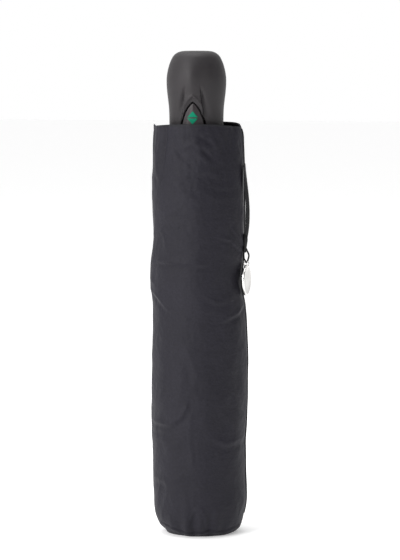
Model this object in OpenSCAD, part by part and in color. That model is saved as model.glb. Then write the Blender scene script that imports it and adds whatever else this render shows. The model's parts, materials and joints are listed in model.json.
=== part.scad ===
// Folding umbrella, closed and standing in its sleeve, with the handle at the top.
// Z runs up the shaft, the push button faces -Y, and the sleeve's base is at z = 0.
// The canopy's tip is at the bottom: it opens upwards round the shaft.

/* [Sleeve] */
// Height of the sleeve
sleeve_h = 249; // [246:1:252]
// Largest outside radius of the sleeve
sleeve_r = 28.6; // [28:0.1:29.5]
// Outside radius of the sleeve at its mouth
mouth_r = 26.6; // [26.4:0.1:27.2]
// Thickness of the sleeve's cloth
cloth = 0.7; // [0.5:0.05:0.8]

/* [Handle] */
// Height of the handle's crown above the base
handle_top = 293; // [290:1:298]
// Height of the handle's lower rim
handle_bottom = 222; // [221:0.5:224]
// Radius of the handle's neck
neck_r = 16.3; // [16:0.1:16.8]
// Radius of the handle's bulb
bulb_r = 17.8; // [17.2:0.1:18.5]
// Width of the push button
button_w = 13.6; // [12:0.2:14]
// Height of the push button's pointed top
button_top = 261.7; // [258:0.5:263]
// Height of the push button's lower edge
button_bottom = 239; // [238:0.5:241]

/* [Ribs] */
// Radius at which the inner ribs and the stretchers are hinged
pivot_r = 12.2; // [12:0.1:12.4]
// Height of the inner ribs' pivots
notch_z = 14; // [13.5:0.5:14.5]
// Length of an inner rib between its pivots
inner_len = 184; // [180:1:184]
// Length of a middle rib between its pivots
middle_len = 178; // [174:1:178]
// Length of an outer rib beyond its pivot
outer_len = 182; // [178:1:182]
// Length of a stretcher between its pivots
stretcher_len = 106; // [100:1:110]
// Width of a rib along the rim
rib_w = 2.8; // [2.6:0.1:2.8]
// Thickness of a rib away from the shaft
rib_t = 2.4; // [2.2:0.1:2.4]

/* [Hidden] */
$fn = 64;
rib_count = 6;
rib_step = 360 / rib_count;
eps = 0.02;

// Layers of the folded bundle, measured out from the shaft
hinge1_r = pivot_r + 2.5;
middle_r = pivot_r + 5;
hinge2_r = middle_r + 1.5;
outer_r = hinge2_r + 1.5;
hinge1_z = notch_z + inner_len;
hinge2_z = hinge1_z - middle_len;
runner_z = hinge1_z + 8;

// Hinge eyes, pins and bores of the ribs
eye_r = 2;
root_eye_r = 1.8;
pin_r = 0.7;
bore_r = 0.75;
lap_gap = 0.3;
lap_w = (rib_w - lap_gap) / 2;
lug_len = 6;
stretcher_w = 2.4;
stretcher_y = -3.4;

// Telescopic shaft
upper_r = 7;
middle_tube_r = 5.9;
lower_r = 4.9;
tube_wall = 0.75;

// Plates of folded canopy cloth
gore_t = 0.35;

// Side loop and charm
side_turn = -6;
loop_top = 227;
loop_low = 175;
cord_low = 167;
ring_r = 1.6;
ring_wire = 0.35;
ring_z = cord_low - 0.3 - ring_r - ring_wire;
disc_r = 9.5;
disc_t = 1.5;
disc_top = ring_z - 0.2;
charm_r = 31.2;

sleeve_profile = [[20, 0], [24, 1], [26.4, 4], [27.4, 9], [27.8, 20], [28.2, 60],
                  [sleeve_r, 100], [sleeve_r, 150], [28.2, 190], [27.3, 225], [mouth_r, sleeve_h]];

ribs = [for (i = [1:rib_count]) i];

// ---------- helpers ----------

// Turns a piece to rib i, whose own X axis points away from the shaft
module at_rib(i) {
    rotate([0, 0, (i - 1) * rib_step]) children();
}

// A box from its lowest to its highest corner
module span(a, b) {
    translate(a) cube(b - a);
}

// A round bar along Y, at x and z, between two y values
module y_bar(r, x, z, y0, y1) {
    translate([x, y0, z]) rotate([-90, 0, 0]) cylinder(r = r, h = y1 - y0);
}

module tube(r, wall, z0, z1) {
    difference() {
        translate([0, 0, z0]) cylinder(r = r, h = z1 - z0);
        translate([0, 0, z0 - 1]) cylinder(r = r - wall, h = z1 - z0 + 2);
    }
}

// ---------- sleeve, side loop and charm ----------

module sleeve() {
    inside = [for (p = sleeve_profile) [p[0] - cloth, max(p[1], cloth)]];
    color([0.22, 0.22, 0.24])
    rotate_extrude($fn = 96)
    polygon(concat([[0, 0]], sleeve_profile,
                   [for (k = [len(inside) - 1:-1:0]) inside[k]], [[0, cloth]]));
}

// Narrow tape that binds the sleeve's mouth
module sleeve_binding() {
    color([0.1, 0.1, 0.11])
    tube(mouth_r + 0.8, 0.5, sleeve_h - 3.5, sleeve_h);
}

// Flat loop of ribbon, sewn into the sleeve's side seam at its top and caught again at its foot
module side_ribbon() {
    steps = 14;
    tape_t = 0.8;
    tape_w = 3;
    bow = 2.3;
    x = charm_r - 2.2;
    height = loop_top - loop_low;
    edge = [for (k = [0:steps]) let (f = k / steps)
        [x + 1.5 + bow * sin(180 * pow(f, 1.6)) + 0.5 * f, loop_top - f * height]];
    color([0.06, 0.06, 0.06])
    rotate([0, 0, side_turn])
    translate([0, tape_w / 2, 0]) rotate([90, 0, 0])
    linear_extrude(tape_w)
    difference() {
        polygon(concat(edge, [[x, loop_low], [x, loop_top]]));
        polygon(concat([for (k = [2:steps - 2]) edge[k] - [tape_t, 0]],
                       [[x + tape_t, edge[steps - 2][1]], [x + tape_t, edge[2][1]]]));
    }
}

// Thin cord that hangs the charm from the foot of the ribbon
module charm_cord() {
    cord_r = 0.5;
    half = (loop_low - cord_low) / 2 - 0.3;
    color([0.05, 0.05, 0.05])
    rotate([0, 0, side_turn])
    translate([charm_r, 0, cord_low + half])
    rotate([90, 0, 0])
    difference() {
        linear_extrude(2 * cord_r, center = true)
        union() {
            translate([0, half - 1.6]) circle(1.6);
            translate([0, 1.6 - half]) circle(1.6);
            square([3.2, 2 * half - 3.2], center = true);
        }
        linear_extrude(2, center = true)
        union() {
            translate([0, half - 1.6]) circle(0.6);
            translate([0, 1.6 - half]) circle(0.6);
            square([1.2, 2 * half - 3.2], center = true);
        }
    }
}

module charm_ring() {
    color("silver")
    rotate([0, 0, side_turn])
    translate([charm_r, 0, ring_z])
    rotate([90, 0, 0])
    rotate_extrude() translate([ring_r, 0]) circle(ring_wire, $fn = 24);
}

// Plain disc with a raised rim, hung by a hole near its edge
module charm_disc() {
    hole_r = 0.95;
    hole_inset = 1.65;
    recess_r = disc_r - 3;
    recess = 0.3;
    color("gainsboro")
    rotate([0, 0, side_turn])
    translate([charm_r, 0, disc_top - disc_r])
    rotate([0, 90, 0])
    difference() {
        cylinder(r = disc_r, h = disc_t, center = true);
        for (side = [0, 1]) rotate([180 * side, 0, 0])
            translate([0, 0, disc_t / 2 - recess]) cylinder(r = recess_r, h = 1);
        translate([hole_inset - disc_r, 0, 0]) cylinder(r = hole_r, h = 4, center = true);
    }
}

// ---------- shaft ----------

module tip_cap() {
    color([0.12, 0.12, 0.13])
    union() {
        rotate_extrude() polygon([[0, 2], [4, 2.1], [7.5, 3], [9.6, 5], [10.2, 7.2], [10.2, 8.9], [0, 8.9]]);
        translate([0, 0, 8]) cylinder(r = upper_r - tube_wall - 0.05, h = 8);
    }
}

// Slotted hub that holds the inner ribs on a wire
module top_notch() {
    hub_r = pivot_r + 2;
    color([0.12, 0.12, 0.13])
    union() {
        difference() {
            translate([0, 0, 9]) cylinder(r = hub_r, h = 8.5);
            translate([0, 0, 8]) cylinder(r = upper_r + eps, h = 11);
            for (i = ribs) at_rib(i)
                span([pivot_r - 2.3, -rib_w / 2 - 0.3, notch_z - 2.2], [hub_r + 1, rib_w / 2 + 0.3, 18]);
        }
        for (i = ribs) at_rib(i) y_bar(pin_r, pivot_r, notch_z, -2.4, 2.4);
    }
}

module upper_tube() {
    color("lightsteelblue") tube(upper_r, tube_wall, 9, 216);
}

module middle_tube() {
    color("lightsteelblue") tube(middle_tube_r, tube_wall, 19, 217);
}

module lower_tube() {
    color("lightsteelblue") tube(lower_r, tube_wall, 21, 238);
}

// Space that the coiled opening spring fills inside the lower tube
module opening_spring() {
    color("gray") tube(3.7, 1, 30, 200);
}

// Sliding collar that carries the stretchers
module runner() {
    collar_r = pivot_r + 2;
    low = runner_z - 3.5;
    slot_y = stretcher_w / 2 + 0.3;
    color([0.12, 0.12, 0.13])
    union() {
        difference() {
            union() {
                translate([0, 0, low]) cylinder(r = collar_r, h = 7);
                translate([0, 0, low]) cylinder(r = 9.6, h = 11);
            }
            translate([0, 0, low - 1]) cylinder(r = upper_r + 0.08, h = 13);
            for (i = ribs) at_rib(i)
                span([pivot_r - 2.3, stretcher_y - slot_y, low - 1],
                     [collar_r + 1, stretcher_y + slot_y, runner_z + 2.2]);
        }
        for (i = ribs) at_rib(i)
            y_bar(pin_r, pivot_r, runner_z, stretcher_y - slot_y - 0.6, stretcher_y + slot_y + 0.6);
    }
}

// ---------- handle ----------

handle_profile = [[neck_r, handle_bottom], [neck_r, 258], [neck_r + 0.4, 262.5], [bulb_r - 0.4, 266.5],
                  [bulb_r, 271], [bulb_r, 276], [bulb_r - 0.7, 280.5], [bulb_r - 1.7, 284],
                  [bulb_r - 3.2, handle_top - 5.5], [bulb_r - 5.8, handle_top - 2.2],
                  [bulb_r - 9.5, handle_top - 0.5], [5, handle_top], [0, handle_top]];

// Pointed-arch outline of the push button, grown by a margin
module button_outline(margin) {
    half = button_w / 2 + margin;
    arch = 14;
    spring_z = button_top - arch;
    points = 12;
    right = [for (k = [0:points]) let (f = k / points)
        [half * cos(90 * pow(f, 0.85)), spring_z + (arch + margin) * f]];
    polygon(concat([[-half, button_bottom - margin], [half, button_bottom - margin]], right,
                   [for (k = [points - 1:-1:0]) [-right[k][0], right[k][1]]]));
}

// A slab of the button's outline through the handle's front, between two radii
module front_slab(r0, r1) {
    intersection() {
        translate([0, -8, 0]) rotate([90, 0, 0]) linear_extrude(14) children();
        translate([0, 0, handle_bottom]) difference() {
            cylinder(r = r1, h = 60);
            translate([0, 0, -1]) cylinder(r = r0, h = 62);
        }
    }
}

module handle_shell() {
    cavity_r = neck_r - 2.4;
    color([0.2, 0.2, 0.2])
    difference() {
        rotate_extrude($fn = 96) polygon(concat([[0, handle_bottom]], handle_profile));
        translate([0, 0, handle_bottom - 1]) cylinder(r = cavity_r, h = 51);
        translate([0, 0, handle_bottom + 49]) cylinder(r1 = cavity_r, r2 = 8, h = 12);
        translate([0, -8, 0]) rotate([90, 0, 0]) linear_extrude(14) button_outline(0.35);
    }
}

// Moulded block inside the handle that grips the lower tube
module handle_core() {
    color([0.3, 0.3, 0.3])
    difference() {
        union() {
            translate([0, 0, 224]) cylinder(r = neck_r - 2.45, h = 12);
            translate([0, 0, 235]) cylinder(r = 9, h = 38);
        }
        translate([0, 0, 223]) cylinder(r = lower_r + eps, h = 15.1);
    }
}

module button() {
    color([0.13, 0.13, 0.13])
    union() {
        front_slab(neck_r - 2, neck_r + 0.5) button_outline(0);
        y_bar(3, 0, 250, -15, -11);
    }
}

// Two small triangles, one up and one down, inlaid on the button
module button_arrows() {
    color([0.08, 0.59, 0.45])
    for (up = [0, 1])
        front_slab(neck_r + 0.5 + eps, neck_r + 0.75)
        translate([0, 253.2]) mirror([0, 1 - up])
        polygon([[-3.2, 0.35], [3.2, 0.35], [0, 3.9]]);
}

// ---------- ribs and canopy ----------

// Flat plate with an eye at its end, which joins a rib to a hinge beside its line.
// side = -1 is the half that carries the pin, side = 1 the half with the bore
module lug(x0, x1, hinge_x, hinge_z, up, side) {
    y0 = side < 0 ? -rib_w / 2 : rib_w / 2 - lap_w;
    span([x0, y0, up ? hinge_z : hinge_z - lug_len], [x1, y0 + lap_w, up ? hinge_z + lug_len : hinge_z]);
    y_bar(eye_r, hinge_x, hinge_z, y0, y0 + lap_w);
}

module inner_rib(i) {
    color("dimgray")
    at_rib(i) union() {
        difference() {
            union() {
                span([pivot_r - rib_t / 2, -rib_w / 2, notch_z], [pivot_r + rib_t / 2, rib_w / 2, hinge1_z - 3]);
                y_bar(root_eye_r, pivot_r, notch_z, -rib_w / 2, rib_w / 2);
            }
            y_bar(bore_r, pivot_r, notch_z, -3, 3);
        }
        lug(pivot_r - rib_t / 2, hinge1_r, hinge1_r, hinge1_z, false, -1);
        y_bar(pin_r, hinge1_r, hinge1_z, -rib_w / 2, rib_w / 2);
    }
}

module middle_rib(i) {
    color("dimgray")
    at_rib(i) union() {
        difference() {
            union() {
                span([middle_r - rib_t / 2, -rib_w / 2, hinge2_z + 3], [middle_r + rib_t / 2, rib_w / 2, hinge1_z - 3]);
                lug(hinge1_r, middle_r + rib_t / 2, hinge1_r, hinge1_z, false, 1);
            }
            y_bar(bore_r, hinge1_r, hinge1_z, 0, 3);
        }
        lug(middle_r - rib_t / 2, hinge2_r, hinge2_r, hinge2_z, true, -1);
        y_bar(pin_r, hinge2_r, hinge2_z, -rib_w / 2, rib_w / 2);
    }
}

module outer_rib(i) {
    top = hinge2_z + outer_len;
    color("dimgray")
    at_rib(i) difference() {
        union() {
            span([outer_r - rib_t / 2, -rib_w / 2, hinge2_z + 3], [outer_r + rib_t / 2, rib_w / 2, top]);
            lug(hinge2_r, outer_r + rib_t / 2, hinge2_r, hinge2_z, true, 1);
            translate([outer_r, 0, top + 0.5]) sphere(1.7);
        }
        y_bar(bore_r, hinge2_r, hinge2_z, 0, 3);
    }
}

// Strut from the runner to an inner rib, beside it. Its far end is free of the rib
module stretcher(i) {
    y0 = stretcher_y - stretcher_w / 2;
    y1 = stretcher_y + stretcher_w / 2;
    color("gray")
    at_rib(i) difference() {
        union() {
            span([pivot_r - rib_t / 2, y0, runner_z - stretcher_len], [pivot_r + rib_t / 2, y1, runner_z]);
            y_bar(root_eye_r, pivot_r, runner_z, y0, y1);
            y_bar(root_eye_r, pivot_r, runner_z - stretcher_len, y0, y1);
        }
        y_bar(bore_r, pivot_r, runner_z, y0 - 1, y1 + 1);
    }
}

// Folded cloth of one panel section: a thin plate that starts on the rib's cloth side at
// radius r and leans by an angle, positive away from the shaft
module gore(i, r, lean, width, z0, z1) {
    color([0.18, 0.18, 0.2])
    at_rib(i) translate([r, -rib_w / 2, z0]) rotate([0, 0, -lean])
    translate([-gore_t / 2, 0, 0]) cube([gore_t, width, z1 - z0]);
}

module canopy_inner(i) { gore(i, pivot_r + 2, -5.7, 13, notch_z + 8, hinge1_z - 9); }
module canopy_middle(i) { gore(i, middle_r - 2.3, 11.2, 11, hinge2_z + 9, hinge1_z - 9); }
module canopy_outer(i) { gore(i, outer_r + 2.3, -17, 20, hinge2_z + 4, hinge2_z + outer_len - 3); }

// Short strap with a press stud that wraps the folded canopy, sewn to one panel
module tie_strap() {
    color([0.1, 0.1, 0.11])
    at_rib(1) translate([outer_r + 3, -rib_w / 2, 96]) rotate([0, 0, 17])
    union() {
        cube([0.6, 17, 18]);
        translate([0.6 - eps, 13, 9]) rotate([0, 90, 0]) cylinder(r = 4, h = 0.9);
    }
}

// ---------- the pieces ----------

sleeve();
sleeve_binding();
side_ribbon();
charm_cord();
charm_ring();
charm_disc();
tip_cap();
top_notch();
upper_tube();
middle_tube();
lower_tube();
opening_spring();
runner();
handle_shell();
handle_core();
button();
button_arrows();
tie_strap();
for (i = ribs) {
    inner_rib(i);
    middle_rib(i);
    outer_rib(i);
    stretcher(i);
    canopy_inner(i);
    canopy_middle(i);
    canopy_outer(i);
}
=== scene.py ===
import json
import math

import bpy
from mathutils import Matrix, Vector, noise


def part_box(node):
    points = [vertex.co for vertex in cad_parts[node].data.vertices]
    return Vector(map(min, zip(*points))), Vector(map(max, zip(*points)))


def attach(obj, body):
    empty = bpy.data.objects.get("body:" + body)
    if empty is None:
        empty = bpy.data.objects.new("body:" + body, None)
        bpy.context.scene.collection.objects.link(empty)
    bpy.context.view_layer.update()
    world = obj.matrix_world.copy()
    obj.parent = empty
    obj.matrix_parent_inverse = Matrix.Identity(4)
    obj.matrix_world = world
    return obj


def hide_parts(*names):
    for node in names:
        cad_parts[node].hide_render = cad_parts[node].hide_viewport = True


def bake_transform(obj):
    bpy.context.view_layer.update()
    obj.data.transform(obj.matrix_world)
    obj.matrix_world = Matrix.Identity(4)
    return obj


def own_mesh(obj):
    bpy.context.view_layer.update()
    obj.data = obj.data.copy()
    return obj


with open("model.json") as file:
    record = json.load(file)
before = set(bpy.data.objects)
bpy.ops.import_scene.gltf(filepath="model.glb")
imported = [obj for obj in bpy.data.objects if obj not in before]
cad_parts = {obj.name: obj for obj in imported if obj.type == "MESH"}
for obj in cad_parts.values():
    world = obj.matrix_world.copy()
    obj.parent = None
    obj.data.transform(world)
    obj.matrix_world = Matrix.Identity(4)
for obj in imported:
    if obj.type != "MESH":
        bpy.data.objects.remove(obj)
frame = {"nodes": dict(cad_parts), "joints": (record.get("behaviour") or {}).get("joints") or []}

# Looks of a folding umbrella that stands closed in its cloth sleeve.
# Lengths are in metres, written as millimetres times MM. Z runs up the shaft.
MM = 0.001
VIEW_TURN = math.radians(8)  # the camera stands this far round from the push button's side
SIDE_TURN = math.radians(-6)  # direction of the side loop, from +X
RIBS = 6
RIB_STEP = math.tau / RIBS
NOISE_ROUGHNESS = 0.55

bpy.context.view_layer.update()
button_low, button_high = (Vector(c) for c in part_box("button"))
MOUTH_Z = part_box("sleeve")[1][2]


# ---------------------------------------------------------------- camera, light and stage

CAMERA_DISTANCE = 1.62
CAMERA_HEIGHT = 0.318
CAMERA_LENS = 172.5
AIM = Vector((0.00215, 0, 0.1543))
MIDDLE = (0, 0, 0.15)  # where the lamps point
BRIGHT_SIDE = (-0.42, 0.67, 0.61)  # where the studio's brightest wall is
DIM_WALL, BRIGHT_WALL = (0.12, 0.12, 0.13), (1, 1, 1)


def add_camera():
    spot = Matrix.Rotation(VIEW_TURN, 3, "Z") @ Vector((AIM.x, -CAMERA_DISTANCE, CAMERA_HEIGHT))
    data = bpy.data.cameras.new("camera")
    data.sensor_fit = "VERTICAL"
    data.sensor_height = 36
    data.lens = CAMERA_LENS
    data.dof.use_dof = False
    camera = bpy.data.objects.new("camera", data)
    camera.location = spot
    target = Matrix.Rotation(VIEW_TURN, 3, "Z") @ AIM
    camera.rotation_euler = (target - spot).to_track_quat("-Z", "Y").to_euler()
    bpy.context.collection.objects.link(camera)
    bpy.context.scene.camera = camera


def add_softbox(name, place, size, power, color=(1, 1, 1)):
    data = bpy.data.lights.new(name, "AREA")
    data.shape = "RECTANGLE"
    data.size, data.size_y = size
    data.energy = power
    data.color = color
    lamp = bpy.data.objects.new(name, data)
    lamp.location = place
    lamp.rotation_euler = (Vector(MIDDLE) - Vector(place)).to_track_quat("-Z", "Y").to_euler()
    bpy.context.collection.objects.link(lamp)


def add_studio():
    """Walls that brighten toward one side, with a pale band at the horizon, three lamps and the floor."""
    scene = bpy.context.scene
    world = bpy.data.worlds.new("studio")
    world.use_nodes = True
    g = Graph(world)
    toward_bright = g.node("ShaderNodeVectorMath", operation="DOT_PRODUCT")
    toward_bright.inputs[1].default_value = BRIGHT_SIDE
    g.link(g.node("ShaderNodeTexCoord").outputs["Generated"], toward_bright.inputs[0])
    fac = g.math("MULTIPLY_ADD", toward_bright.outputs["Value"], 0.5, 0.5)
    split = g.node("ShaderNodeSeparateXYZ")
    g.link(g.node("ShaderNodeTexCoord").outputs["Generated"], split.inputs[0])
    band = g.node("ShaderNodeMapRange", interpolation_type="SMOOTHSTEP")
    for name, value in (("From Min", 0.09), ("From Max", 0.16), ("To Min", 0.9), ("To Max", 0.0)):
        band.inputs[name].default_value = value
    g.link(g.math("ABSOLUTE", split.outputs[2]), band.inputs["Value"])
    gradient = g.ramp(fac, (0.46, DIM_WALL), (0.78, BRIGHT_WALL))
    sky = world.node_tree.nodes["Background"]
    g.link(g.math("MAXIMUM", gradient, band.outputs["Result"]), sky.inputs["Color"])
    sky.inputs["Strength"].default_value = 1.0
    scene.world = world
    scene.view_settings.view_transform = "Standard"
    add_softbox("key", (-0.9, -1.25, 0.8), (0.6, 1.1), 21, (1, 0.99, 0.99))
    add_softbox("fill", (1.3, -1.2, 0.4), (0.7, 1.1), 1.6)
    add_softbox("top", (-0.2, 0.1, 1.5), (1, 1), 10)
    bpy.ops.mesh.primitive_plane_add(size=12, location=(0, 0, 0))
    floor = bpy.context.object
    floor.name = "floor"
    paper, shader = plain_material("floor_paper", (0.93, 0.93, 0.93), 0.8)
    shader.inputs["Specular IOR Level"].default_value = 0.1
    shader.inputs["Emission Color"].default_value = (1, 1, 1, 1)
    shader.inputs["Emission Strength"].default_value = 0.3
    floor.data.materials.append(paper)


# ---------------------------------------------------------------- materials

def plain_material(name, color, roughness, metallic=0.0):
    material = bpy.data.materials.new(name)
    material.use_nodes = True
    shader = material.node_tree.nodes["Principled BSDF"]
    shader.inputs["Base Color"].default_value = (*color, 1)
    shader.inputs["Roughness"].default_value = roughness
    shader.inputs["Metallic"].default_value = metallic
    return material, shader


class Graph:
    """Short ways to add and join a material's nodes."""

    def __init__(self, material):
        self.tree = material.node_tree

    def node(self, kind, **settings):
        made = self.tree.nodes.new(kind)
        for key, value in settings.items():
            setattr(made, key, value)
        return made

    def link(self, source, target):
        self.tree.links.new(source, target)

    def math(self, operation, *inputs):
        made = self.node("ShaderNodeMath", operation=operation)
        for socket, value in zip(made.inputs, inputs):
            if isinstance(value, (int, float)):
                socket.default_value = value
            else:
                self.link(value, socket)
        return made.outputs[0]

    def noise(self, vector, scale, detail):
        made = self.node("ShaderNodeTexNoise")
        made.inputs["Scale"].default_value = scale
        made.inputs["Detail"].default_value = detail
        made.inputs["Roughness"].default_value = NOISE_ROUGHNESS
        self.link(vector, made.inputs["Vector"])
        return made.outputs["Fac"]

    def ramp(self, fac, *stops):
        made = self.node("ShaderNodeValToRGB")
        elements = made.color_ramp.elements
        while len(elements) < len(stops):
            elements.new(0.5)
        for element, (place, color) in zip(elements, stops):
            element.position = place
            element.color = (*color, 1)
        self.link(fac, made.inputs["Fac"])
        return made.outputs["Color"]

    def bump(self, height, strength, distance, normal=None):
        made = self.node("ShaderNodeBump")
        made.inputs["Strength"].default_value = strength
        made.inputs["Distance"].default_value = distance
        self.link(height, made.inputs["Height"])
        if normal is not None:
            self.link(normal, made.inputs["Normal"])
        return made.outputs["Normal"]


def scaled(color, share):
    return tuple(c * share for c in color)


def cloth_material(name, color, sheen, yarn=0.42 * MM, roughness=0.62):
    """Plain-weave cloth with slubs, faint blotches and fine crinkles.
    The UV map holds the distance across and along the cloth in metres."""
    material, shader = plain_material(name, color, roughness)
    g = Graph(material)
    uv = g.node("ShaderNodeUVMap", uv_map="UVMap").outputs["UV"]
    split = g.node("ShaderNodeSeparateXYZ")
    g.link(uv, split.inputs[0])
    waves = [g.math("SINE", g.math("MULTIPLY", split.outputs[axis], math.pi / yarn)) for axis in (0, 1)]
    weave = g.math("MULTIPLY", *waves)
    slub = g.noise(uv, 700, 2)
    mottle = g.noise(uv, 38, 4)
    mixed = g.math("ADD", g.math("MULTIPLY", weave, 0.16),
                   g.math("ADD", g.math("MULTIPLY", slub, 0.55), g.math("MULTIPLY", mottle, 0.45)))
    g.link(g.ramp(mixed, (0.25, scaled(color, 0.72)), (0.5, color), (0.8, scaled(color, 1.45))),
           shader.inputs["Base Color"])
    fine = g.bump(weave, 0.25, 0.06 * MM)
    squeezed = g.node("ShaderNodeMapping")
    squeezed.inputs["Scale"].default_value = (0.7, 1, 1)
    g.link(uv, squeezed.inputs["Vector"])
    crinkle = g.noise(squeezed.outputs["Vector"], 300, 4)
    rough = g.bump(crinkle, 0.5, 1.0 * MM, g.bump(slub, 0.35, 0.12 * MM, fine))
    g.link(rough, shader.inputs["Normal"])
    shader.inputs["Sheen Weight"].default_value = sheen
    shader.inputs["Sheen Roughness"].default_value = 0.45
    shader.inputs["Sheen Tint"].default_value = (0.8, 0.78, 1, 1)
    shader.inputs["Specular IOR Level"].default_value = 0.22
    return material


def moulded_material(name, color, roughness, grain=0.05 * MM, gloss=0.5):
    """Moulded plastic or soft rubber with a fine grain and uneven gloss."""
    material, shader = plain_material(name, color, roughness)
    g = Graph(material)
    place = g.node("ShaderNodeTexCoord").outputs["Object"]
    grain_noise = g.noise(place, 2600, 2)
    handled = g.noise(place, 70, 4)
    g.link(g.ramp(handled, (0.3, scaled(color, 0.88)), (0.7, scaled(color, 1.14))),
           shader.inputs["Base Color"])
    spread = g.node("ShaderNodeMapRange")
    spread.inputs["To Min"].default_value = roughness - 0.06
    spread.inputs["To Max"].default_value = roughness + 0.08
    g.link(handled, spread.inputs["Value"])
    g.link(spread.outputs["Result"], shader.inputs["Roughness"])
    g.link(g.bump(grain_noise, 0.3, grain), shader.inputs["Normal"])
    shader.inputs["Specular IOR Level"].default_value = gloss
    return material


def metal_material(name, color, roughness, scratch=0.08, stretch=(1, 1, 0.04), pitted=False):
    """Metal with fine scratches along Z, and pits where asked."""
    material, shader = plain_material(name, color, roughness, 1.0)
    g = Graph(material)
    place = g.node("ShaderNodeTexCoord").outputs["Object"]
    mapping = g.node("ShaderNodeMapping")
    mapping.inputs["Scale"].default_value = stretch
    g.link(place, mapping.inputs["Vector"])
    lines = g.noise(mapping.outputs["Vector"], 2400, 3)
    worn = g.noise(place, 120, 4)
    g.link(g.ramp(worn, (0.3, scaled(color, 0.82)), (0.7, color)), shader.inputs["Base Color"])
    spread = g.node("ShaderNodeMapRange")
    spread.inputs["To Min"].default_value = roughness - scratch / 2
    spread.inputs["To Max"].default_value = roughness + scratch
    g.link(lines, spread.inputs["Value"])
    g.link(spread.outputs["Result"], shader.inputs["Roughness"])
    if pitted:
        relief = g.bump(g.noise(place, 900, 3), 0.5, 0.12 * MM)
    else:
        relief = g.bump(lines, 0.1, 0.002 * MM)
    g.link(relief, shader.inputs["Normal"])
    return material


sleeve_cloth = cloth_material("sleeve_cloth", (0.0121, 0.0112, 0.0168), 0.012)
canopy_cloth = cloth_material("canopy_cloth", (0.0135, 0.0125, 0.017), 0.025, 0.34 * MM, 0.55)
hem_cloth = cloth_material("hem_cloth", (0.013, 0.013, 0.016), 0.05)
ribbon_cloth = cloth_material("ribbon_cloth", (0.010, 0.010, 0.011), 0.05, 0.3 * MM, 0.36)
cord_cloth = cloth_material("cord_cloth", (0.006, 0.006, 0.006), 0.03, 0.25 * MM, 0.6)
soft_grip = moulded_material("soft_grip", (0.0185, 0.0160, 0.0178), 0.54, gloss=0.36)
button_plastic = moulded_material("button_plastic", (0.023, 0.0185, 0.0205), 0.45, gloss=0.4)
green_print = moulded_material("green_print", (0.001, 0.175, 0.096), 0.6, 0.02 * MM, 0.12)
black_plastic = moulded_material("black_plastic", (0.015, 0.015, 0.016), 0.38)
shaft_steel = metal_material("shaft_steel", (0.62, 0.62, 0.64), 0.24)
rib_paint = metal_material("rib_paint", (0.11, 0.11, 0.115), 0.36)
spring_wire = metal_material("spring_wire", (0.4, 0.4, 0.42), 0.3)
charm_metal = metal_material("charm_metal", (0.86, 0.85, 0.83), 0.2)
charm_face = metal_material("charm_face", (0.8, 0.79, 0.77), 0.34, 0.2, (1, 1, 1), pitted=True)


# ---------------------------------------------------------------- mesh helpers

def smoothstep(x, low=0.0, high=1.0):
    t = min(max((x - low) / (high - low), 0.0), 1.0)
    return t * t * (3 - 2 * t)


def inverse_smoothstep(w):
    """The t at which t * t * (3 - 2 * t) is w."""
    return 0.5 - math.sin(math.asin(1 - 2 * min(max(w, 0.0), 1.0)) / 3)


def between(start, end, leaving, arriving, t):
    """A smooth way from start to end for t from 0 to 1, with its rates of change at the two ends."""
    return ((2 * t ** 3 - 3 * t * t + 1) * start + (t ** 3 - 2 * t * t + t) * leaving
            + (3 * t * t - 2 * t ** 3) * end + (t ** 3 - t * t) * arriving)


def curve_value(points, x):
    """Smooth value at x of a curve through a few (x, value) points in rising x."""
    if x <= points[0][0]:
        return points[0][1]
    for k in range(len(points) - 1):
        (x0, y0), (x1, y1) = points[k], points[k + 1]
        if x <= x1:
            before = points[k - 1] if k else points[k]
            after = points[k + 2] if k + 2 < len(points) else points[k + 1]
            m0 = (y1 - before[1]) / (x1 - before[0])
            m1 = (after[1] - y0) / (after[0] - x0)
            h = x1 - x0
            return between(y0, y1, m0 * h, m1 * h, (x - x0) / h)
    return points[-1][1]


def new_piece(name, verts, faces, material, uvs=None):
    mesh = bpy.data.meshes.new(name)
    mesh.from_pydata([tuple(v) for v in verts], [], faces)
    if uvs is not None:
        layer = mesh.uv_layers.new(name="UVMap")
        for loop in mesh.loops:
            layer.data[loop.index].uv = uvs[loop.vertex_index]
    mesh.materials.append(material)
    mesh.polygons.foreach_set("use_smooth", [True] * len(mesh.polygons))
    mesh.update()
    piece = bpy.data.objects.new(name, mesh)
    bpy.context.collection.objects.link(piece)
    return piece


def grid_faces(rows, columns, wrap=False):
    """Faces of a grid of rows times columns points, closed round its columns when wrap is set."""
    last = columns if wrap else columns - 1
    return [(r * columns + c, r * columns + (c + 1) % columns,
             (r + 1) * columns + (c + 1) % columns, (r + 1) * columns + c)
            for r in range(rows - 1) for c in range(last)]


def grid_piece(name, rows, material, uv_rows, wrap=False):
    """A sheet from rows of points. A wrapped sheet repeats its seam's points so its UV map is whole."""
    if wrap:
        rows = [row + row[:1] for row in rows]
    columns = len(rows[0])
    verts = [p for row in rows for p in row]
    uvs = [uv for row in uv_rows for uv in row]
    return new_piece(name, verts, grid_faces(len(rows), columns), material, uvs)


def weld(piece, distance=0.01 * MM):
    modifier = piece.modifiers.new("weld", "WELD")
    modifier.merge_threshold = distance


def thicken(piece, thickness, offset=-1):
    modifier = piece.modifiers.new("thickness", "SOLIDIFY")
    modifier.thickness = thickness
    modifier.offset = offset
    modifier.use_even_offset = False


def subdivide(piece, levels=1):
    modifier = piece.modifiers.new("subdivision", "SUBSURF")
    modifier.levels = levels
    modifier.render_levels = levels


def bake_modifiers(piece):
    """Puts the result of the piece's modifiers into its mesh."""
    bpy.context.view_layer.update()
    shown = piece.evaluated_get(bpy.context.evaluated_depsgraph_get())
    mesh = bpy.data.meshes.new_from_object(shown)
    piece.modifiers.clear()
    piece.data = mesh


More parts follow.
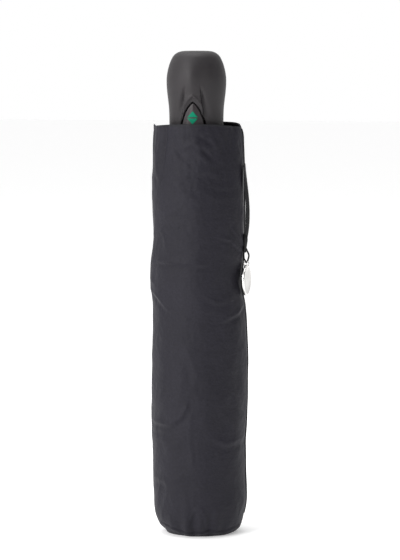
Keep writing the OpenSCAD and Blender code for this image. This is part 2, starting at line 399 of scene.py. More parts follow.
def frames_along(points, up=Vector((0, 0, 1))):
    """A tangent, side and normal at each point of a path, turned as little as possible between points."""
    tangents = []
    for k in range(len(points)):
        ahead = points[min(k + 1, len(points) - 1)] - points[max(k - 1, 0)]
        tangents.append(ahead.normalized())
    side = tangents[0].cross(up)
    if side.length < 1e-6:
        side = tangents[0].cross(Vector((1, 0, 0)))
    frames = []
    for tangent in tangents:
        side = (side - tangent * side.dot(tangent)).normalized()
        frames.append((tangent, side, tangent.cross(side)))
    return frames


def swept_piece(name, points, section, material, closed=False, up=Vector((0, 0, 1)), twists=None):
    """A bar of the section's outline, a list of (side, normal) offsets, along a path of points.
    A twist for each point turns the section about the path, in radians."""
    points = [Vector(p) for p in points]
    if closed:
        count = len(points)
        tangents = [(points[(k + 1) % count] - points[k - 1]).normalized() for k in range(count)]
        frames = [(t, t.cross(up).normalized(), t.cross(t.cross(up).normalized())) for t in tangents]
    else:
        frames = frames_along(points, up)
    sides = len(section)
    verts, uvs, run = [], [], 0.0
    for k, (point, (_, side, normal)) in enumerate(zip(points, frames)):
        run += (point - points[k - 1]).length if k else 0.0
        c, s = (math.cos(twists[k]), math.sin(twists[k])) if twists else (1, 0)
        for j, (a, b) in enumerate(section):
            verts.append(point + side * (a * c - b * s) + normal * (a * s + b * c))
            uvs.append((j * 0.4 * MM, run))
    faces = grid_faces(len(points), sides, wrap=True)
    if closed:
        start = (len(points) - 1) * sides
        faces += [(start + j, start + (j + 1) % sides, (j + 1) % sides, j) for j in range(sides)]
    else:
        end = (len(points) - 1) * sides
        faces += [tuple(reversed(range(sides))), tuple(end + j for j in range(sides))]
    return new_piece(name, verts, faces, material, uvs)


def round_section(radius, sides=10):
    return [(radius * math.cos(math.tau * k / sides), radius * math.sin(math.tau * k / sides))
            for k in range(sides)]


def flat_section(width, thickness):
    """Outline of a flat tape with rounded edges, wide across the path's side."""
    a, b = width / 2, thickness / 2
    half = [(-a, -b * 0.5), (-a + b, -b), (a - b, -b), (a, -b * 0.5)]
    return half + [(-x, -y) for x, y in half]


def lathe_piece(name, profile, material, steps=64):
    """A turned solid about Z. Its outline of (radius, height) points starts and ends on the axis."""
    inner = profile[1:-1]
    verts = [Vector((r * math.cos(a), r * math.sin(a), z))
             for r, z in inner for a in (math.tau * k / steps for k in range(steps))]
    faces = grid_faces(len(inner), steps, wrap=True)
    first, last = len(verts), len(verts) + 1
    verts += [Vector((0, 0, profile[0][1])), Vector((0, 0, profile[-1][1]))]
    end = (len(inner) - 1) * steps
    faces += [(first, (k + 1) % steps, k) for k in range(steps)]
    faces += [(last, end + k, end + (k + 1) % steps) for k in range(steps)]
    return new_piece(name, verts, faces, material)


def turned(angle):
    return Matrix.Rotation(angle, 3, "Z")


# ---------------------------------------------------------------- side loop and charm

ribbon_low, ribbon_high = (Vector(c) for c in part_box("side_ribbon"))
LOOP_TOP, LOOP_LOW = ribbon_high.z, ribbon_low.z
CHARM_R = 31.2 * MM  # the charm hangs this far from the shaft
RIBBON_R = CHARM_R - 2.2 * MM
RIBBON_WIDTH = 2.6 * MM


def side_point(out, z, along=0.0):
    """A point at a distance from the shaft in the side loop's direction."""
    return turned(SIDE_TURN) @ Vector((out, along, z))


def ribbon_route():
    """Down the loop's outer run and back up against the sleeve, with the tape's twist at each point.
    The outer run bows away from the seam and turns its face to the front."""
    steps = 16
    height = LOOP_TOP - LOOP_LOW
    outer, inner = [], []
    for k in range(steps + 1):
        f = k / steps
        belly = math.sin(math.pi * f ** 1.4)
        down = LOOP_TOP - 0.8 * MM - f * (height - 1.6 * MM)
        up = LOOP_LOW + 1.6 * MM + f * (height - 3.2 * MM)
        outer.append((0.9 + 1.7 * belly + 0.4 * f, down, 1.05 * belly))
        inner.append((-0.3 + 0.5 * abs(2 * f - 1) ** 4, up, 0.0))
    points = [side_point(RIBBON_R + x * MM, z) for x, z, _ in outer + inner]
    return points, [twist for _, _, twist in outer + inner]


def add_side_loop():
    """The ribbon, which carries the gathered foot, the thin cord and the charm."""
    path, twists = ribbon_route()
    tape = flat_section(RIBBON_WIDTH, 0.75 * MM)
    ribbon = swept_piece("ribbon_loop", path, tape, ribbon_cloth, twists=twists)
    subdivide(ribbon)
    bake_modifiers(ribbon)
    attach(ribbon, "sleeve_body")
    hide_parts("side_ribbon")
    return ribbon


def add_gather():
    """The ribbon's foot, drawn together and bound where the cord is caught."""
    outline = [(0, 0), (0.7, 0.1), (0.95, 0.9), (0.9, 2.2), (1.25, 4.6), (1.7, 8), (1.5, 10.4), (0.8, 11.6),
               (0, 11.8)]
    gather = lathe_piece("ribbon_gather", [(r * MM, z * MM) for r, z in outline], ribbon_cloth, 24)
    for vertex in gather.data.vertices:
        angle = math.atan2(vertex.co.y, vertex.co.x)
        vertex.co.xy *= 1 + 0.1 * math.sin(5 * angle + 300 * vertex.co.z)
    gather.data.transform(Matrix.Translation(side_point(CHARM_R - 1.1 * MM, LOOP_LOW - 3.4 * MM)))
    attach(gather, "sleeve_body")
    squash_with_sleeve(gather)


def add_charm_cord():
    """A thin cord, caught in the ribbon's foot and passed through the ring.
    Its runs, as (out, along, share of the height), stand a little apart."""
    top = LOOP_LOW + 0.6 * MM
    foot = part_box("charm_ring")[1][2] - 1.3 * MM
    upper = [(-0.9, 0.35, 1.0), (-0.5, 0.4, 0.86), (0.3, 0.4, 0.7), (1.3, 0.3, 0.52), (1.4, 0.2, 0.38),
             (0.9, 0.5, 0.24)]
    lower = [(0.5, 0.9, 0.13), (0.1, 0.6, 0.03)]
    outer = upper + lower
    inner = [(-out, -along, f) for out, along, f in reversed(lower)]
    inner += [(-0.9 - 0.9 * math.sin(math.pi * f), -along, f) for _, along, f in reversed(upper)]
    path = [side_point(CHARM_R + out * MM, foot + f * (top - foot), along * MM)
            for out, along, f in outer + [(0, 0, 0)] + inner]
    cord = swept_piece("charm_cord_loop", path, round_section(0.6 * MM, 8), cord_cloth, closed=True,
                       up=turned(SIDE_TURN) @ Vector((0.2, 1, 0.1)))
    subdivide(cord, 2)
    bake_modifiers(cord)
    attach(cord, "sleeve_body")
    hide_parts("charm_cord")
    return cord


def add_charm():
    ring_low, ring_high = (Vector(c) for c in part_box("charm_ring"))
    disc_low, disc_high = (Vector(c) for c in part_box("charm_disc"))
    across = turned(SIDE_TURN) @ Vector((0, 1, 0))
    centre = side_point(CHARM_R, (ring_low.z + ring_high.z) / 2)
    wire = 0.35 * MM
    radius = (ring_high.z - ring_low.z) / 2 - wire
    outward = turned(SIDE_TURN) @ Vector((1, 0, 0))
    circle = [centre + outward * x + Vector((0, 0, y)) for x, y in round_section(radius, 40)]
    ring = swept_piece("charm_split_ring", circle, round_section(wire, 12), charm_metal, closed=True,
                       up=across)
    radius = (disc_high.z - disc_low.z) / 2
    half = 0.75 * MM
    rim = 1.5 * MM
    dip = 0.25 * MM
    bead = 0.35 * MM
    front = [(radius * 0.4, half - dip), (radius - rim - bead, half - dip),
             (radius - rim, half - bead * 0.3), (radius - rim * 0.7, half), (radius - bead, half),
             (radius - bead * 0.3, half - bead * 0.3), (radius, half - bead)]
    outline = [(0, dip - half)] + [(r, -h) for r, h in front] + front[::-1] + [(0, half - dip)]
    disc = lathe_piece("charm_round_disc", outline, charm_face, 72)
    middle = side_point(CHARM_R, (disc_low.z + disc_high.z) / 2)
    disc.data.transform(Matrix.Translation(middle) @ Matrix.Rotation(SIDE_TURN, 4, "Z")
                        @ Matrix.Rotation(math.pi / 2, 4, "Y"))
    disc.data.materials.append(charm_metal)
    for face in disc.data.polygons:
        if (face.center - middle).length > radius - rim:
            face.material_index = 1
    for piece, node in ((ring, "charm_ring"), (disc, "charm_disc")):
        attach(piece, "charm")
        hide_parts(node)
        squash_with_sleeve(piece)


# ---------------------------------------------------------------- sleeve

SLEEVE_CUT = (0.178, 0.276)  # one piece of cloth, round the umbrella and down to the middle of the base
SEAM_ANGLE = math.radians(-6)


def squash_with_sleeve(piece):
    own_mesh(piece)


# The filled sleeve's half widths to the camera's left and right, and its half depth, by height.
# All in millimetres.
LEFT_EDGE = [(0, 19.6), (2, 22.0), (5, 23.4), (9, 24.6), (13, 25.3), (17, 25.8), (24, 25.9), (38, 26.6),
             (60, 27.1), (100, 27.0), (140, 26.4), (150, 27.5), (165, 27.6), (176, 26.4), (182, 26.0),
             (205, 26.9), (228, 26.4), (244, 25.9), (249, 25.9)]
RIGHT_EDGE = [(0, 24.6), (2, 26.6), (5, 27.7), (9, 28.6), (13, 29.4), (17, 30.2), (21, 30.6), (38, 29.8),
              (54, 29.7), (70, 30.1), (107, 31.1), (120, 30.8), (132, 29.9), (143, 28.7), (152, 27.4),
              (160, 27.6), (170, 28.4), (185, 29.0), (226, 29.0), (237, 28.3), (244, 27.8), (249, 26.7)]
HALF_DEPTH = [(0, 18.5), (3, 22.5), (9, 25.4), (20, 27.0), (120, 27.4), (195, 26.4), (225, 23.0),
              (249, 20.0)]

# How far the mouth's edge rises above its mean level, by angle from the camera's right, in millimetres
MOUTH_RISE = [(-180, 0.5), (-165, -0.5), (-150, -0.2), (-130, 0.5), (-100, 0.9), (-70, 0.8), (-45, -0.2),
              (-20, -1.1), (0, -1.3), (20, 0.6), (45, 1.2), (80, 0.9), (110, -0.7), (150, -1.4), (180, 0.5)]

# Folds of the cloth: route as (across, height), half width, and height, in millimetres.
# A dent's height is negative.
FRONT_CREASES = [
    ([(-29, 164), (-23, 167.5), (4, 166)], 1.3, 0.9),
    ([(-29, 151), (-22, 145), (-17, 138)], 1.4, 1.0),
    ([(-29, 158), (-25, 153), (-24, 148)], 1.6, 0.6),
    ([(-28, 181), (-20, 186), (-12, 188)], 1.6, 0.5),
    ([(15, 181.5), (21, 180), (28, 172)], 1.0, 0.6),
    ([(22, 187), (26, 181), (29, 173)], 0.9, 0.8),
    ([(29, 163), (27, 154), (28.5, 144)], 1.5, -0.8),
    ([(-28, 70), (-16, 69), (-9, 74), (-6, 80)], 1.6, 1.0),
    ([(-27, 62), (-20, 63), (-14, 60)], 1.8, -0.5),
    ([(-15, 243), (-12.5, 235), (-6, 227)], 1.9, -0.75),
    ([(-6, 240), (1, 241.5), (8, 238)], 1.8, -0.75),
    ([(-8, 235), (-1, 237.5), (5, 234)], 1.6, 0.7),
    ([(2, 236), (6, 231.5), (10, 228)], 1.8, -0.85),
    ([(9, 240), (14, 234), (13, 226)], 1.6, 0.45),
    ([(-20, 214), (-12, 219), (-4, 217)], 1.7, 0.45),
    ([(-16, 222), (-6, 219), (6, 222), (14, 218)], 2.0, 0.5),
    ([(-17.8, 256), (-18.2, 240), (-20.5, 220)], 1.8, -1.7),
    ([(-22.8, 256), (-23.6, 238), (-24.5, 222)], 1.7, 1.0),
    ([(-14, 216), (-7, 207), (3, 204)], 2.2, 0.5),
    ([(6, 214), (13, 209), (24, 210)], 2.4, -0.4),
    ([(-20, 200), (-8, 196), (0, 197)], 2.0, 0.35),
    ([(16, 132), (24, 136), (31, 144)], 1.5, 0.7),
    ([(-12, 124), (-4, 112), (1, 96)], 2.6, 0.5),
    ([(4, 148), (13, 143), (20, 145)], 1.8, 0.35),
    ([(8, 62), (18, 57), (29, 60)], 2.0, 0.5),
    ([(-27, 36), (-18, 33), (-10, 37)], 1.9, 0.5),
    ([(-3.8, 10), (-1.8, 17), (2, 18.5), (5, 15), (6, 8)], 1.0, 0.6),
    ([(-22, 6.2), (-12, 3.8), (-4, 2.7), (2, 3.4), (8, 4.4), (16, 3.2), (25, 4.6)], 0.6, -0.9),
]
BACK_CREASES = [
    ([(-28, 176), (-12, 171), (6, 176)], 2.6, 0.8),
    ([(10, 128), (20, 121), (28, 122)], 2.6, 0.8),
    ([(-26, 96), (-12, 90), (0, 92)], 3.2, 0.7),
    ([(-6, 214), (4, 206), (14, 208)], 3.6, 0.5),
    ([(4, 52), (16, 48), (27, 52)], 3.2, 0.6),
]
# Pleats over the base's front edge: place across, and height, negative for a furrow
GATHERS = [(-14, 0.5), (-9.6, -0.6), (-5.6, 1.0), (-1.8, -1.3), (2.4, 1.2), (7.4, -1.1), (11.5, 0.7),
           (15.5, -0.5)]


def distance_to_route(x, z, route):
    """Signed distance from a point to a bent line, and the nearest point's share of the way along it."""
    best = None
    total = sum(math.dist(a, b) for a, b in zip(route, route[1:]))
    run = 0.0
    for (x0, z0), (x1, z1) in zip(route, route[1:]):
        dx, dz = x1 - x0, z1 - z0
        length = math.hypot(dx, dz)
        t = min(max(((x - x0) * dx + (z - z0) * dz) / length ** 2, 0), 1)
        ox, oz = x - x0 - t * dx, z - z0 - t * dz
        away = math.hypot(ox, oz)
        if best is None or away < abs(best[0]):
            side = 1 if dx * oz - dz * ox >= 0 else -1
            best = (side * away, (run + t * length) / total)
        run += length
    return best


def crease_height(x, z, creases):
    """How far the folds lift the cloth at a place. Each has a sharp crest, and a hollow along one side."""
    height = 0.0
    for route, width, depth in creases:
        reach = 4 * width
        if not min(p[0] for p in route) - reach < x < max(p[0] for p in route) + reach:
            continue
        if not min(p[1] for p in route) - reach < z < max(p[1] for p in route) + reach:
            continue
        away, along = distance_to_route(x, z, route)
        if abs(away) < reach:
            fade = math.sin(math.pi * (0.1 + 0.8 * along)) ** 0.7
            u = away / width
            crest = math.exp(0.25 - 1.2 * math.sqrt(u * u + 0.045))
            height += depth * fade * (crest - 0.7 * math.exp(-((u + 1.6) ** 2)))
    return height


def soft_noise(x, y, z, seed):
    return noise.noise(Vector((x, y, z + 17.3 * seed)))


def crumple(c, s, height):
    """Dents and soft ridges all over the cloth, larger low down and finer near the mouth."""
    wide = soft_noise(1.9 * c, 1.9 * s, height / 38, 1)
    ridged = 0.5 - abs(soft_noise(2.6 * c + 0.4 * wide, 2.6 * s, height / 17 + 0.5 * wide, 2)) * 1.6
    small = 0.5 - abs(soft_noise(6.5 * c, 6.5 * s + wide, height / 8.5 + wide, 3)) * 1.6
    return 0.75 * wide + 0.45 * ridged + (0.16 + 0.14 * smoothstep(height, 190, 235)) * small


def sleeve_point(angle, height, inset=0.0):
    """A point on the sleeve's outside at an angle from the camera's right, at a height in millimetres."""
    c, s = math.cos(angle), math.sin(angle)
    across = curve_value(RIGHT_EDGE if c >= 0 else LEFT_EDGE, height)
    depth = curve_value(HALF_DEPTH, height)
    flatness = smoothstep(height, 205, 249)
    x = across * c
    y = depth * math.copysign(abs(s) ** (1 + 0.45 * flatness), s)
    away = Vector((x / across, y / depth, 0)).normalized()
    front = smoothstep(-s, 0.0, 0.35)
    back = smoothstep(s, 0.0, 0.35)
    body = smoothstep(height, 2, 16)
    fold = crease_height(x, height, FRONT_CREASES) * front + crease_height(-x, height, BACK_CREASES) * back
    fold += body * crumple(c, s, height)
    ridge_place = 3 + 2.5 * math.sin(height / 45)
    fold += 0.9 * body * front * math.exp(-math.sqrt((x - ridge_place) ** 2 + 4) / 8)
    base = smoothstep(26 - height, 0, 22) * smoothstep(height, 0, 3)
    for place, strength in GATHERS:
        u = (x - place * (1 + height / 90)) / (1.5 + 0.03 * height)
        if abs(u) < 3:
            fold += 1.0 * strength * base * math.exp(-u * u) * (front + 0.6 * back)
    fold -= inset
    low_corner = 2.4 * smoothstep(-x, 3, 22) + 0.9 * smoothstep(x, 16, 25)
    degrees = (math.degrees(angle) + 180) % 360 - 180
    z = height + low_corner * (1 - smoothstep(height, 0, 16))
    z += curve_value(MOUTH_RISE, degrees) * smoothstep(height, 215, 249)
    return turned(VIEW_TURN) @ Vector(((x + away.x * fold) * MM, (y + away.y * fold) * MM, z * MM))


def add_sleeve():
    """The bag, from the middle of its base out to the corner and up to the mouth."""
    steps = 280
    levels = 310
    corner = [0.0, 0.25, 0.7, 1.2, 1.8]
    wall = MOUTH_Z / MM - 1 - corner[-1]
    heights = corner + [corner[-1] + (k + 1) * wall / levels for k in range(levels)]
    angles = [math.tau * k / steps for k in range(steps)]
    across = [k * SLEEVE_CUT[0] / steps for k in range(steps + 1)]
    rows, uv_rows = [], []
    for share in (0.0, 0.25, 0.5, 0.75, 0.92):
        edge = [sleeve_point(angle, 0.0) for angle in angles]
        rows.append([Vector((p.x * share, p.y * share, 0)) for p in edge])
        uv_rows.append([(u, (share - 1) * 20 * MM) for u in across])
    for height in heights:
        rows.append([sleeve_point(angle, height) for angle in angles])
        uv_rows.append([(u, height * MM) for u in across])
    sleeve = grid_piece("cloth_sleeve", rows, sleeve_cloth, uv_rows, wrap=True)
    weld(sleeve)
    thicken(sleeve, 0.55 * MM)
    bake_modifiers(sleeve)
    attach(sleeve, "sleeve_body")
    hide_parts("sleeve")
    squash_with_sleeve(sleeve)
    return sleeve


def add_binding():
    """The mouth's folded tape, and the piping that runs down the side seam."""
    steps = 150
    mouth = [sleeve_point(math.tau * k / steps, MOUTH_Z / MM - 1.2, 0.3) for k in range(steps)]
    tape = swept_piece("mouth_binding", mouth, flat_section(0.9 * MM, 1.7 * MM), hem_cloth, closed=True)
    subdivide(tape)
    bake_modifiers(tape)
    path = [sleeve_point(SEAM_ANGLE, MOUTH_Z / MM - 1 - k * 3, -0.1) for k in range(80)]
    piping = swept_piece("side_seam_piping", path, round_section(0.55 * MM, 8), ribbon_cloth,
                         up=Vector((1, 0, 0)))
    subdivide(piping)
    bake_modifiers(piping)
    for piece in (tape, piping):
        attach(piece, "sleeve_body")
        squash_with_sleeve(piece)
    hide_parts("sleeve_binding")
    return [tape, piping]


# ---------------------------------------------------------------- handle and button

# Outline of the grip as (height, radius) in millimetres
GRIP_OUTLINE = [(222, 16.3), (250, 16.3), (258, 16.5), (263, 17.0), (268, 17.6), (273, 17.95), (277, 17.9),
                (281, 17.3), (284.5, 16.4), (287.5, 15.2), (289.8, 13.9), (291.5, 12.0), (292.5, 9.6),
                (292.95, 6), (292.9, 0)]
# Sizes below are in millimetres too
BUTTON_HALF = (button_high.x - button_low.x) / 2 / MM
BUTTON_TOP = button_high.z / MM
BUTTON_LOW = button_low.z / MM
BUTTON_ARCH = 17.0  # height of the button's pointed part
BUTTON_ROUND = 16.0  # radius of its face about the shaft
HOOD_TOP = BUTTON_TOP + 4.6  # point of the raised arch round the button
HOOD_ARCH = 22.0
FLUTE_TOP = 273.5  # where the two finger grooves run out
WELL_DEPTH = 3.5
ARROW_MIDDLE = 253.2


def arch_half_width(height, top, half, arch):
    """Half the width of a pointed arch at a height, negative above its point."""
    f = (height - (top - arch)) / arch
    if f >= 1:
        return top - height
    return half * (1 - max(f, 0) ** 1.8) ** 0.75


def grip_relief(x, z):
    """How far the grip's front stands out of its turned outline, at x across and z up.
    An arch stands round the button, a groove runs down each side of it, and a ridge and a furrow
    rise above it."""
    rising = smoothstep(z, 224, 238)
    hood = arch_half_width(z, HOOD_TOP, BUTTON_HALF + 3.0, HOOD_ARCH) - abs(x)
    hood_rise = 0.85 * math.exp(-max(-hood, 0) / 1.6) * rising * smoothstep(HOOD_TOP + 6 - z, 0, 8)
    chamfer = 1.35 * smoothstep(hood, -0.3, 2.4) * rising
    below = max(FLUTE_TOP - z, 0)
    line = 4.7 + 0.11 * below + 0.0018 * below * below
    spread = 0.55 + 0.09 * below
    u = (abs(x) - line) / spread
    profile = math.exp(-((u / (0.42 if u < 0 else 1.25)) ** 2))
    flute = (1.7 + 0.03 * below) * profile * smoothstep(below, 0, 9) ** 0.8 * rising
    ridge = 0.5 * math.exp(-((x + 1.2) / 3.6) ** 2)
    ridge *= smoothstep(z, HOOD_TOP - 3, HOOD_TOP + 6) * smoothstep(291 - z, 0, 14)
    furrow = 0.4 * math.exp(-((x - 5.6) / 3.0) ** 2)
    furrow *= smoothstep(z, HOOD_TOP - 2, HOOD_TOP + 8) * smoothstep(290 - z, 0, 14)
    return hood_rise - chamfer - flute + ridge - furrow


def well_depth(x, z):
    """Depth of the pocket that the button sits in, measured straight back."""
    inside = arch_half_width(z, BUTTON_TOP + 0.9, BUTTON_HALF + 0.8, BUTTON_ARCH + 0.6) - abs(x)
    inside = min(inside, z - BUTTON_LOW + 0.8)
    return WELL_DEPTH * smoothstep(inside, -0.35, 0.25)


def add_grip():
    """The grip, turned and then moulded. Its side rises to a ring, and its crown closes in from there."""
    rows = []
    steps, rings, crown_radius = 320, 34, 16.9
    low = GRIP_OUTLINE[0][0]
    crown_line = [(r, z) for z, r in reversed(GRIP_OUTLINE[7:])]
    radii = [crown_radius * (1 - k / rings) for k in range(rings)]
    crown = [(curve_value(crown_line, radius), radius) for radius in radii]
    side = [low + k * 0.4 for k in range(162)]
    profile = [(z, curve_value(GRIP_OUTLINE, z)) for z in side if z < crown[0][0] - 0.2] + crown
    for z, radius in profile:
        ring = []
        for k in range(steps):
            angle = math.tau * k / steps
            x, y = radius * math.sin(angle), -radius * math.cos(angle)
            rise = grip_relief(x, z) if y < 0 else 0.0
            rise *= smoothstep(-y / radius, 0.05, 0.3)
            dimple = 0.5 * math.exp(-(radius / 4.5) ** 2)
            away = (radius + rise) / radius
            back = well_depth(x * away, z) if y < 0 else 0.0
            ring.append(Vector((x * away, y * away + back, z - dimple)) * MM)
        rows.append(ring)
    verts = [p for row in rows for p in row]
    faces = grid_faces(len(rows), steps, wrap=True)
    verts.append(Vector((0, 0, rows[-1][0].z)))
    start = (len(rows) - 1) * steps
    faces += [(start + k, start + (k + 1) % steps, len(verts) - 1) for k in range(steps)]
    grip = new_piece("handle_grip", verts, faces, soft_grip)
    thicken(grip, 1.6 * MM)
    bake_modifiers(grip)
    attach(grip, "handle_section")
    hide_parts("handle_shell")


def button_surface(x, z):
    """The button's crowned face as a distance in front of the shaft."""
    edge = arch_half_width(z, BUTTON_TOP, BUTTON_HALF, BUTTON_ARCH) - abs(x)
    edge = min(edge, z - BUTTON_LOW)
    crown = 0.75 * smoothstep(edge, 0, 3.2)
    return math.sqrt(BUTTON_ROUND ** 2 - x * x) + crown - 0.5


def add_button():
    """A crowned pointed-arch plate, built as rows across its outline, and its two printed marks."""
    levels, columns = 56, 33
    rows = []
    for k in range(levels + 1):
        z = BUTTON_LOW + (BUTTON_TOP - BUTTON_LOW) * (k / levels) ** 0.9
        half = max(arch_half_width(z, BUTTON_TOP, BUTTON_HALF, BUTTON_ARCH), 0.02)
        across = [half * math.sin(math.pi * (j / (columns - 1) - 0.5)) for j in range(columns)]
        rows.append([Vector((x, -button_surface(x, z), z)) * MM for x in across])
    verts = [p for row in rows for p in row]
    plate = new_piece("button_plate", verts, grid_faces(len(rows), columns), button_plastic)
    thicken(plate, 0.9 * MM)
    bake_modifiers(plate)
    count = 13
    verts, faces = [], []
    for up in (1, -1):
        start = len(verts)
        for k in range(count):
            f = k / (count - 1)
            half = 3.2 * (1 - f) + 0.02
            z = ARROW_MIDDLE + up * (0.35 + 3.6 * f)
            across = [half * (2 * j / (count - 1) - 1) for j in range(count)]
            verts += [Vector((x, -button_surface(x, z) - 0.06, z)) * MM for x in across]
        mark = [tuple(start + n for n in face) for face in grid_faces(count, count)]
        faces += mark if up > 0 else [face[::-1] for face in mark]
    marks = new_piece("arrow_marks", verts, faces, green_print)
    thicken(marks, 0.15 * MM, 0)
    bake_modifiers(marks)
    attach(plate, "push_button")
    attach(marks, "push_button")
    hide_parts("button")
    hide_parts("button_arrows")


# ---------------------------------------------------------------- canopy

# Points in a rib's plane are (out, up) from the shaft, with the umbrella folded
joints = {j["name"]: j for j in frame["joints"]}
INNER_PIVOT = Vector((12.2, 14)) * MM
HINGE_1 = Vector((14.7, 198)) * MM
HINGE_2 = Vector((18.7, 20)) * MM
RIB_TIP = Vector((20.2, 203)) * MM
OPEN_1, OPEN_2, OPEN_3 = (math.radians(a) for a in (80, 70, 58))  # each section's turn from the shaft, open
SEAM_GAP = 0.2 * MM
SPREAD = {"inner": 13 * MM, "middle": 11 * MM, "outer": 20 * MM}  # width of each folded strip
LEAN = {"inner": OPEN_1, "middle": OPEN_2 - math.pi, "outer": OPEN_3}
SAG = 4.2 * MM  # how far the cloth hangs in between two ribs
PLEAT = 0.7 * MM  # height of the three soft pleats across a folded strip
HEM_RISE = 9 * MM  # how far the hem draws in between two ribs
# Knots of the canopy's line between which each section lies, and its steps between two knots
SECTIONS = {"inner": (0, 3, 10), "middle": (3, 4, 26), "outer": (4, 5, 26)}


def swing(point, angle):
    """Turns a point of a rib's plane, as (out, up), away from the shaft."""
    c, s = math.cos(angle), math.sin(angle)
    return Vector((point.x * c + point.y * s, point.y * c - point.x * s))


def open_place(section, point):
    """Where a point of a rib's plane goes when its section is fully open."""
    if section == "inner":
        return INNER_PIVOT + swing(point - INNER_PIVOT, OPEN_1)
    if section == "middle":
        return open_place("inner", HINGE_1) + swing(point - HINGE_1, OPEN_2 - math.pi)
    return open_place("middle", HINGE_2) + swing(point - HINGE_2, OPEN_3)


def closed_place(section, point):
    """The other way: the rest place of a point given where it is when open."""
    if section == "inner":
        return INNER_PIVOT + swing(point - INNER_PIVOT, -OPEN_1)
    if section == "middle":
        return HINGE_1 + swing(point - open_place("inner", HINGE_1), math.pi - OPEN_2)
    return HINGE_2 + swing(point - open_place("middle", HINGE_2), -OPEN_3)


def slope(angle):
    """The way a line runs that leans this far from the shaft."""
    return Vector((math.sin(angle), math.cos(angle)))


def outside(angle):
    """The way from such a line to the canopy's outside."""
    return Vector((math.cos(angle), -math.sin(angle)))


def canopy_line():
    """Knots of the open canopy's line over a rib, as (out, up) points from the cap to the hem, and the
    line's direction at each."""
    lean_1, lean_2 = math.radians(75), math.radians(64)
    near = INNER_PIVOT + slope(OPEN_1) * 24 * MM + outside(OPEN_1) * 2.2 * MM
    knots = [Vector((12.1, 8.5)) * MM, Vector((15.2, 8.2)) * MM, near,
             open_place("inner", HINGE_1) + outside(lean_1) * 3.0 * MM,
             open_place("middle", HINGE_2) + outside(lean_2) * 3.0 * MM,
             open_place("outer", RIB_TIP) + outside(OPEN_3) * 2.0 * MM]
    slopes = [Vector((1, 0)), Vector((1, 0.05)).normalized(), slope(OPEN_1 + 0.02), slope(lean_1),
              slope(lean_2), slope(OPEN_3 - 0.03)]
    return knots, slopes


def whole_line():
    """Points along the canopy's line from the cap to the hem, and each section's first and last of them."""
    knots, slopes = canopy_line()
    points, ends = [], {}
    for section, (first, last, steps) in SECTIONS.items():
        start = len(points)
        for k in range(first, last):
            span = (knots[k + 1] - knots[k]).length
            for j in range(steps):
                t = j / steps
                points.append(between(knots[k], knots[k + 1], span * slopes[k], span * slopes[k + 1], t))
        ends[section] = (start, len(points))
    return points + [knots[-1]], ends


def weight_for(reach, spread, travel):
    """The share w of the joint's travel for which spread * t(w) + w * travel is reach."""
    low, high = 0.0, 1.0
    for _ in range(40):
        w = (low + high) / 2
        if spread * inverse_smoothstep(w) + w * travel < reach:
            low = w
        else:
            high = w
    return (low + high) / 2


def add_gore(section, i):
    """One section of the canopy between two ribs. At rest it is the folded strip beside its rib.
    A point's w, its share of the spread joint's travel, sets where the point lies across the folded strip,
    and its pleats."""
    spread = SPREAD[section]
    travel = joints[f"{section}_cloth_spread_{i}"]["range_m"][1]
    lean = LEAN[section]
    out = swing(Vector((1, 0)), -lean)
    along = Vector((-0.5 * out.x, math.cos(math.pi / 6), -0.5 * out.y))
    line, ends = whole_line()
    first, last = ends[section]
    columns = 29
    rows, uv_rows = [], []
    run = sum((b - a).length for a, b in zip(line[:first], line[1:first + 1]))
    for k in range(first, last + 1):
        place = line[k]
        run += (place - line[k - 1]).length if k > first else 0.0
        f = (k - first) / (last - first)
        rest = closed_place(section, place)
        chord = place.x
        ahead = line[min(k + 1, len(line) - 1)] - line[max(k - 1, 0)]
        inward = swing(Vector((-ahead.y, ahead.x)).normalized(), -lean)
        upward = swing(ahead.normalized(), -lean)
        row, uv_row = [], []
        for j in range(columns):
            u = j / (columns - 1)
            w = weight_for(u * (chord - SEAM_GAP), spread, travel)
            t = inverse_smoothstep(w)
            sag = 4 * u * (1 - u)
            depth = SAG * sag * smoothstep(chord, 20 * MM, 200 * MM)
            pleat = PLEAT * math.sin(math.tau * 3 * w) * math.sin(math.pi * f) ** 0.5
            pleat *= smoothstep(chord, 60 * MM, 200 * MM)
            hem = -HEM_RISE * sag * smoothstep(f, 0.25, 1) if section == "outer" else 0.0
            shift = inward * (depth + pleat) + upward * hem
            row.append(Vector((rest.x + shift.x, 0, rest.y + shift.y)) + along * (spread * t))
            uv_row.append(((u - 0.5) * chord, run))
        rows.append(row)
        uv_rows.append(uv_row)
    gore = grid_piece(f"canopy_{section}_panel_{i}", rows, canopy_cloth, uv_rows)
    thicken(gore, 0.22 * MM, 0)
    bake_modifiers(gore)
    turn = Matrix.Rotation((i - 1) * RIB_STEP, 4, "Z")
    gore.data.transform(turn)
    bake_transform(gore)
    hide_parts(f"canopy_{section}_{i}")


def add_canopy():
    for i in range(1, RIBS + 1):
        for section in SECTIONS:
            add_gore(section, i)


def add_crown_cloth():
    """The middle of the canopy, clamped between the tip cap and the hub."""
    rings = [(8.5, 9.0), (10.5, 8.97), (13, 8.8), (15, 8.6), (16.6, 9.0), (17.4, 9.9)]
    steps = 48
    angles = [math.tau * k / steps for k in range(steps)]
    rows = []
    for r, z in rings:
        wave = 0.35 if r > 14 else 0
        ring = [Vector((r * math.cos(a), r * math.sin(a), z - wave * math.sin(6 * a))) for a in angles]
        rows.append([p * MM for p in ring])
    uv_rows = [[(r * MM * math.tau * k / steps, r * MM) for k in range(steps + 1)] for r, _ in rings]
    crown = grid_piece("canopy_crown", rows, canopy_cloth, uv_rows, wrap=True)
    weld(crown)
    thicken(crown, 0.25 * MM, 0)
    bake_modifiers(crown)
    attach(crown, "top_section")


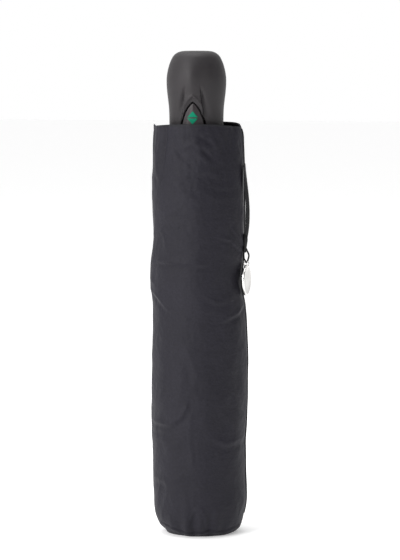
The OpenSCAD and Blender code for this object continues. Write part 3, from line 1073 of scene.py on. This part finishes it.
def add_tie_strap():
    """The short strap that would hold the rolled cloth: a hemmed tab with a press stud near its end."""
    low, high = (Vector(c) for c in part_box("tie_strap"))
    lean = math.radians(17)
    root = Vector((low.x + 5.3 * MM, -1.4 * MM, (low.z + high.z) / 2))
    outward = Vector((math.cos(lean), math.sin(lean), 0))
    along = Vector((-math.sin(lean), math.cos(lean), 0))
    length, half, columns = 16.6 * MM, 8.6 * MM, 22
    rows, uv_rows = [], []
    for j in range(17):
        v = j / 8 - 1
        row, uv_row = [], []
        for k in range(columns):
            u = k / (columns - 1)
            rounding = half * (1 - max(u - 0.8, 0) ** 2 * 6)
            hem = 0.18 * MM * smoothstep(max(abs(v), u), 0.84, 0.9)
            lift = (0.25 + 0.12 * math.sin(5 * u + 2 * v)) * MM + hem
            row.append(root + along * (length * u) + Vector((0, 0, v * rounding)) + outward * lift)
            uv_row.append((length * u, v * half))
        rows.append(row)
        uv_rows.append(uv_row)
    strap = grid_piece("tie_strap_tab", rows, canopy_cloth, uv_rows)
    thicken(strap, 0.35 * MM, 0)
    bake_modifiers(strap)
    outline = [(0, 0), (1.4, 0), (1.9, 0.25), (2.4, 0.3), (3.2, 0.75), (3.7, 0.6), (3.8, 0.1), (3.6, -0.4),
               (0, -0.4)]
    stud = lathe_piece("press_stud", [(r * MM, h * MM) for r, h in reversed(outline)], black_plastic, 40)
    place = root + along * 13 * MM + outward * 0.75 * MM
    stud.data.transform(Matrix.Translation(place) @ outward.to_track_quat("Z", "Y").to_matrix().to_4x4())
    for piece in (strap, stud):
        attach(piece, "outer_cloth_1")
    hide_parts("tie_strap")


# ---------------------------------------------------------------- pieces kept from the frame

def paint(material, *names):
    for name in names:
        node = frame["nodes"][name]
        node.data.materials.clear()
        node.data.materials.append(material)


def paint_frame():
    numbers = range(1, RIBS + 1)
    paint(black_plastic, "tip_cap", "top_notch", "runner", "handle_core")
    paint(shaft_steel, "upper_tube", "middle_tube", "lower_tube")
    paint(spring_wire, "opening_spring")
    paint(rib_paint, *[f"{part}_rib_{i}" for part in ("inner", "middle", "outer") for i in numbers])
    paint(rib_paint, *[f"stretcher_{i}" for i in numbers])


# ---------------------------------------------------------------- the scene

add_camera()
add_studio()
cord_piece = add_charm_cord()
add_gather()
add_charm()
ribbon_piece = add_side_loop()
sleeve_piece = add_sleeve()
bindings = add_binding()
add_grip()
add_button()
add_canopy()
add_crown_cloth()
add_tie_strap()
paint_frame()
for soft in (ribbon_piece, cord_piece):
    squash_with_sleeve(soft)
